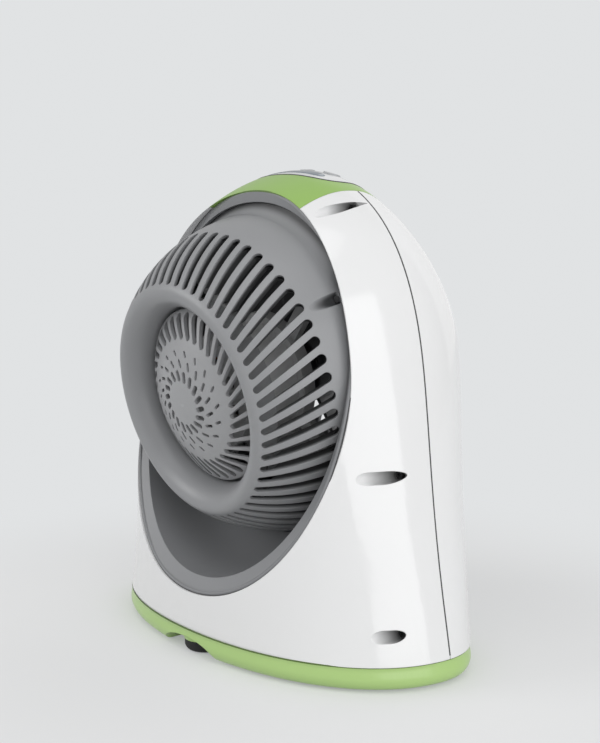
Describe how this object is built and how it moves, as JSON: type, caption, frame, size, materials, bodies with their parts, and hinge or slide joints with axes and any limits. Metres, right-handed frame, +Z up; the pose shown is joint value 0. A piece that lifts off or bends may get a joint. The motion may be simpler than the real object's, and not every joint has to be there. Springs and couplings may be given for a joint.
{
  "type": "air circulator fan",
  "caption": "Table air circulator: a slotted ball-shaped fan head that tilts inside an egg-shaped two-shell housing with a coloured top cover and base.",
  "frame": {"origin": "under the middle of the whole fan, on the surface that it stands on", "axes": "+Z up, +Y towards the rear with the slotted ball, -Y towards the front grille, X along the tilt axis"},
  "size_m": [0.2992, 0.1809, 0.3096],
  "materials": {
    "white_shell": "glossy white moulding",
    "green_cover": "satin green moulding",
    "green_base": "satin light green moulding",
    "grey_liner": "satin mid-grey moulding",
    "grey_head": "satin grey moulding",
    "light_grey_cover": "satin light grey moulding",
    "dark_plastic": "matt dark grey moulding",
    "panel_white": "glossy pale moulding",
    "window_smoke": "smoked clear plastic",
    "button_grey": "satin grey moulding",
    "rubber_black": "matt black rubber",
    "screw_steel": "zinc-plated steel",
    "motor_steel": "pressed and coated steel",
    "stator_steel": "laminated steel",
    "copper_wire": "enamelled copper wire",
    "bronze": "sintered bronze",
    "board_green": "glass-fibre board",
    "acetal": "acetal",
    "felt_dark": "pressed felt",
    "impeller_grey": "matt dark grey moulding"
  },
  "bodies": {
    "root": {"rear_shell": "white_shell", "front_shell": "white_shell", "top_cover": "green_cover", "base_tray": "green_base", "rear_liner": "grey_liner", "front_liner": "grey_liner", "control_panel": "panel_white", "display_window": "window_smoke", "control_board": "board_green", "press_switches": "dark_plastic", "rear_foot": "rubber_black", "side_feet": "rubber_black", "shell_screws": "screw_steel", "base_screws": "screw_steel", "cord_gland": "dark_plastic", "power_board": "board_green", "transformer": "motor_steel", "capacitor": "dark_plastic", "board_screws": "screw_steel", "pivot_bushes": "acetal", "friction_washers": "felt_dark"},
    "head": {"rear_grille": "grey_head", "motor_cover": "light_grey_cover", "head_front_shell": "grey_head", "front_grille": "grey_head", "front_badge": "light_grey_cover", "motor_mount": "dark_plastic", "motor_front_bell": "motor_steel", "motor_rear_bell": "motor_steel", "stator_core": "stator_steel", "stator_windings": "copper_wire", "front_bearing": "bronze", "rear_bearing": "bronze", "head_screws": "screw_steel", "motor_screws": "screw_steel", "pivot_pins": "dark_plastic"},
    "rotor": {"shaft": "screw_steel", "rotor_core": "stator_steel", "impeller": "impeller_grey", "impeller_nut": "dark_plastic"},
    "timer_button": {"timer_button": "button_grey"},
    "power_button": {"power_button": "button_grey"},
    "speed_button": {"speed_button": "button_grey"}
  },
  "joints": [
    {"name": "head_tilt", "type": "hinge", "parent": "root", "child": "head", "pos_m": [0, 0.0022, 0.1778], "axis": [1, 0, 0], "range_deg": [-34.4, 10.6]},
    {"name": "impeller_spin", "type": "hinge", "parent": "head", "child": "rotor", "pos_m": [0, 0.0022, 0.1778], "axis": [0, 0.9829, -0.184], "continuous": true},
    {"name": "timer_button_press", "type": "slide", "parent": "root", "child": "timer_button", "axis": [0, 0, -1], "range_m": [0, 0.001], "stiffness_N_per_m": 600},
    {"name": "power_button_press", "type": "slide", "parent": "root", "child": "power_button", "axis": [0, 0, -1], "range_m": [0, 0.001], "stiffness_N_per_m": 600},
    {"name": "speed_button_press", "type": "slide", "parent": "root", "child": "speed_button", "axis": [0, 0, -1], "range_m": [0, 0.001], "stiffness_N_per_m": 600}
  ]
}
